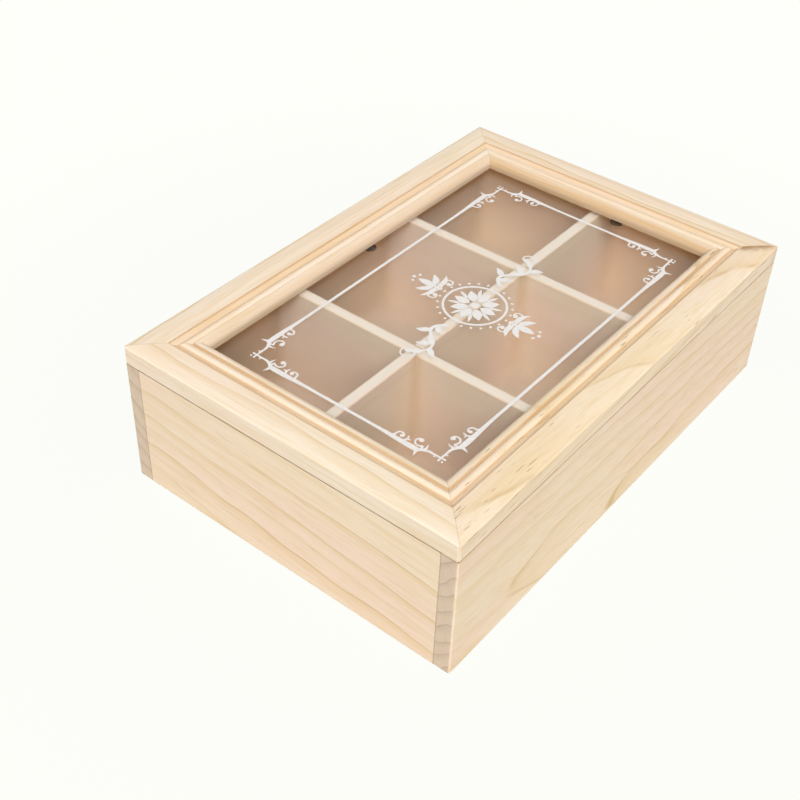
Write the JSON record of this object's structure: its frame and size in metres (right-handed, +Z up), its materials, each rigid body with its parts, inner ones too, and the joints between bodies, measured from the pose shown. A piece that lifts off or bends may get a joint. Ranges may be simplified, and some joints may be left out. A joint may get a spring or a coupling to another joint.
{
  "type": "compartment box",
  "caption": "Rectangular pine box with a plywood bottom and lapped dividers that make square compartments, closed by a hinged lid: a mitred, moulded frame round a clear glass pane.",
  "frame": {"origin": "centre of the base, on the table", "axes": "+X along the long side to the right of a person who faces the front, +Y from the front to the hinge side, +Z up"},
  "size_m": [0.24, 0.1687, 0.0701],
  "materials": {
    "pine": "sanded smooth, unvarnished",
    "plywood": "plain, unvarnished",
    "glass": "clear, polished",
    "brass": "plain, slightly dull",
    "tab_steel": "dark, matt",
    "nail_steel": "bright steel strip"
  },
  "bodies": {
    "box": {"front_wall": "pine", "back_wall": "pine", "left_end_wall": "pine", "right_end_wall": "pine", "bottom_panel": "plywood", "long_divider": "pine", "cross_divider_left": "pine", "cross_divider_right": "pine", "hinge_left_box_leaf": "brass", "hinge_right_box_leaf": "brass", "hinge_left_pin": "brass", "hinge_right_pin": "brass", "hinge_left_box_screw_1": "brass", "hinge_left_box_screw_2": "brass", "hinge_right_box_screw_1": "brass", "hinge_right_box_screw_2": "brass"},
    "lid": {"lid_front_rail": "pine", "lid_back_rail": "pine", "lid_left_rail": "pine", "lid_right_rail": "pine", "glass_pane": "glass", "glass_tab_front": "tab_steel", "glass_tab_back": "tab_steel", "glass_tab_left": "tab_steel", "glass_tab_right": "tab_steel", "v_nail_front_left": "nail_steel", "v_nail_front_right": "nail_steel", "v_nail_back_left": "nail_steel", "v_nail_back_right": "nail_steel", "hinge_left_lid_leaf": "brass", "hinge_right_lid_leaf": "brass", "hinge_left_lid_screw_1": "brass", "hinge_left_lid_screw_2": "brass", "hinge_right_lid_screw_1": "brass", "hinge_right_lid_screw_2": "brass"}
  },
  "joints": [
    {"name": "lid_hinge", "type": "hinge", "parent": "box", "child": "lid", "pos_m": [0, 0.0845, 0.061], "axis": [-1, 0, 0], "range_deg": [0, 180]}
  ]
}
